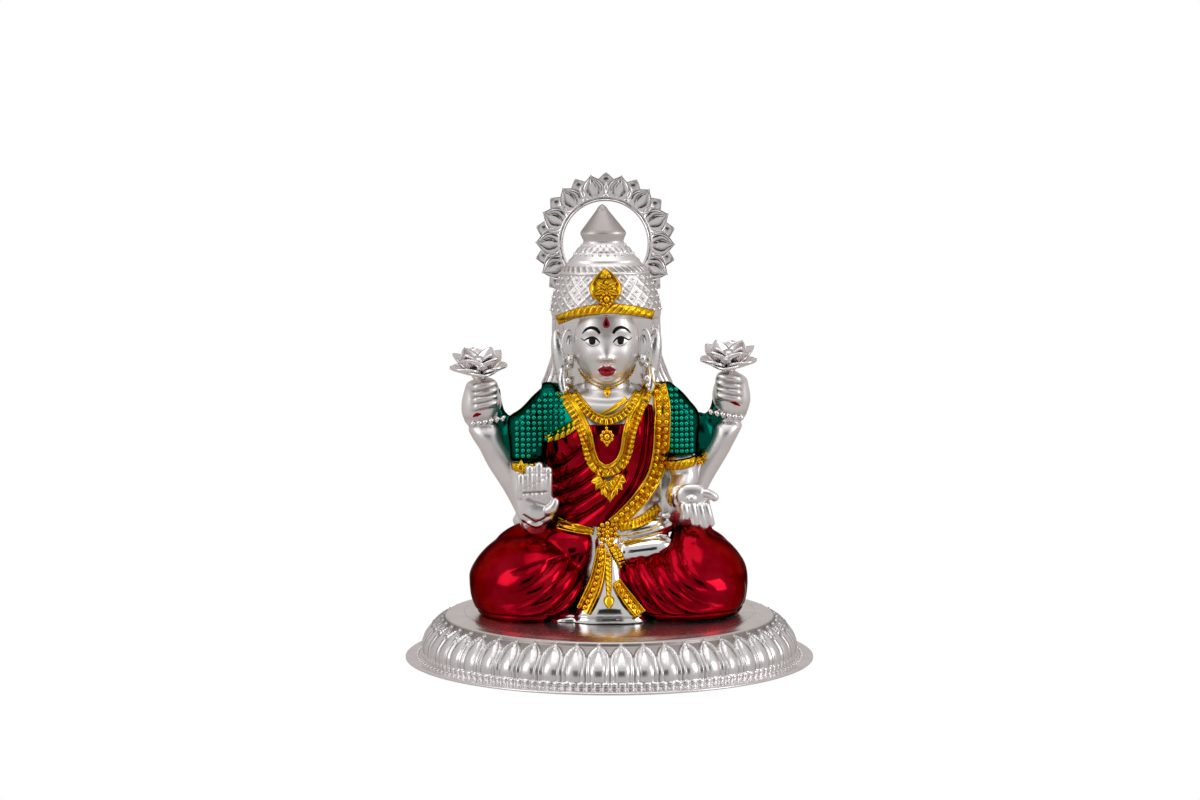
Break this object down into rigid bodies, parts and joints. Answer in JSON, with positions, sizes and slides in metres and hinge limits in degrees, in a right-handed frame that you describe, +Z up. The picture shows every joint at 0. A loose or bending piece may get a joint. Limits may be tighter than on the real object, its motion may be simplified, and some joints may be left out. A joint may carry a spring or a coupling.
{
  "type": "seated lakshmi figure",
  "caption": "Small silver-plated seated goddess figure with coloured lacquer dress, raised lotus flowers and a petalled halo, on a round lotus-petal plinth.",
  "frame": {"origin": "middle of the plinth's underside, on the surface that it stands on", "axes": "+Z up; the figure faces -Y; +X is the viewer's right from the front"},
  "size_m": [0.13, 0.13, 0.1539],
  "materials": {
    "silver": "polished silver plate, slightly milky",
    "red_lacquer": "glossy translucent red lacquer over silver",
    "green_lacquer": "glossy translucent green lacquer over silver",
    "gold_lacquer": "glossy translucent gold lacquer over silver",
    "black_paint": "thin glossy black paint"
  },
  "bodies": {
    "root": {"plinth": "silver", "figure": "silver", "halo": "silver", "lotus_viewer_left": "silver", "lotus_viewer_right": "silver"}
  },
  "joints": []
}
